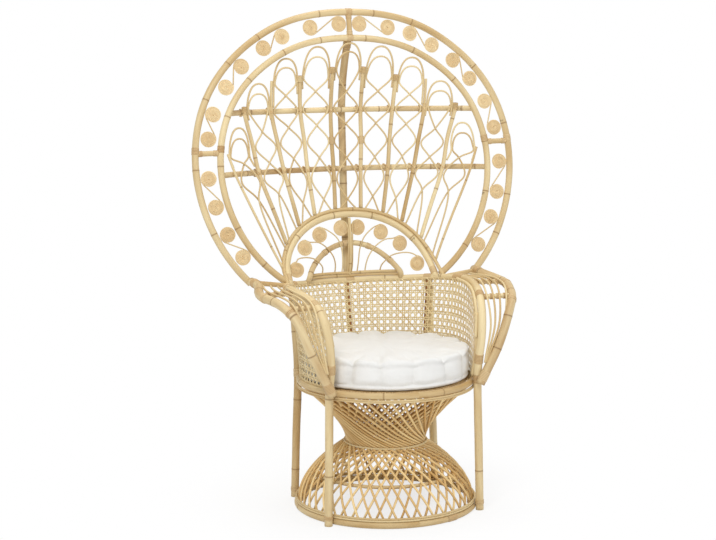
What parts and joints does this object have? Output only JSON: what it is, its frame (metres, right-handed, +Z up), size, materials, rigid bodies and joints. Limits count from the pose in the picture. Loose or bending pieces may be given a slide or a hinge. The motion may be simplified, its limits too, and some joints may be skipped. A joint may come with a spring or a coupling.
{
  "type": "peacock chair",
  "caption": "Rattan armchair with an hourglass pedestal of twisted canes, bound legs, a cane barrel seat, a loose round cushion and a tall round fan back with scrolls.",
  "frame": {"origin": "centre of the bounding box, on the floor", "axes": "+Z up, the front of the chair faces -Y, +X is to the right of someone looking at the front"},
  "size_m": [1.0544, 0.6748, 1.4992],
  "materials": {
    "pole": "varnished round rattan poles",
    "wrapped": "rattan poles wound with peel",
    "cane": "thin round rattan core",
    "strand": "round rattan strands",
    "weave": "woven cane",
    "cloth": "matt cotton"
  },
  "bodies": {
    "frame": {"base_hoop": "pole", "seat_hoop": "pole", "front_leg_left": "pole", "front_leg_right": "pole", "rear_leg_left": "pole", "rear_leg_right": "pole", "back_rail": "pole", "arm_outer_pole_left": "pole", "arm_outer_pole_right": "pole", "small_arch_hoop": "pole", "small_arch_band": "pole", "back_outer_ring": "wrapped", "back_inner_ring": "wrapped", "ring_strut_top": "wrapped", "ring_strut_right": "wrapped", "ring_strut_left": "wrapped", "fan_bar_lower": "wrapped", "fan_bar_upper": "wrapped", "back_post": "wrapped", "fan_rod_left_1": "wrapped", "fan_loop_left_1": "cane", "fan_rod_left_2": "wrapped", "fan_loop_left_2": "cane", "fan_rod_left_3": "wrapped", "fan_loop_left_3": "cane", "fan_rod_left_4": "wrapped", "fan_loop_left_4": "cane", "ring_scroll_left_1": "cane", "ring_scroll_left_2": "cane", "ring_scroll_left_3": "cane", "ring_scroll_left_4": "cane", "ring_scroll_left_5": "cane", "ring_scroll_left_6": "cane", "arm_web_left": "cane", "fan_rod_right_1": "wrapped", "fan_loop_right_1": "cane", "fan_rod_right_2": "wrapped", "fan_loop_right_2": "cane", "fan_rod_right_3": "wrapped", "fan_loop_right_3": "cane", "fan_rod_right_4": "wrapped", "fan_loop_right_4": "cane", "ring_scroll_right_1": "cane", "ring_scroll_right_2": "cane", "ring_scroll_right_3": "cane", "ring_scroll_right_4": "cane", "ring_scroll_right_5": "cane", "ring_scroll_right_6": "cane", "arm_web_right": "cane", "base_binding_hoops": "cane", "seat_binding_hoops": "cane", "waist_hoop": "cane", "fan_loop_centre": "cane", "arch_scrollwork": "cane", "pedestal_outer_strands": "strand", "pedestal_inner_strands": "strand", "cane_panel": "weave", "seat_deck": "weave"},
    "cushion": {"cushion": "cloth"}
  },
  "joints": [
    {"name": "cushion_lift", "type": "slide", "parent": "frame", "child": "cushion", "axis": [0, 0, 1], "range_m": [0, 0.3]}
  ]
}
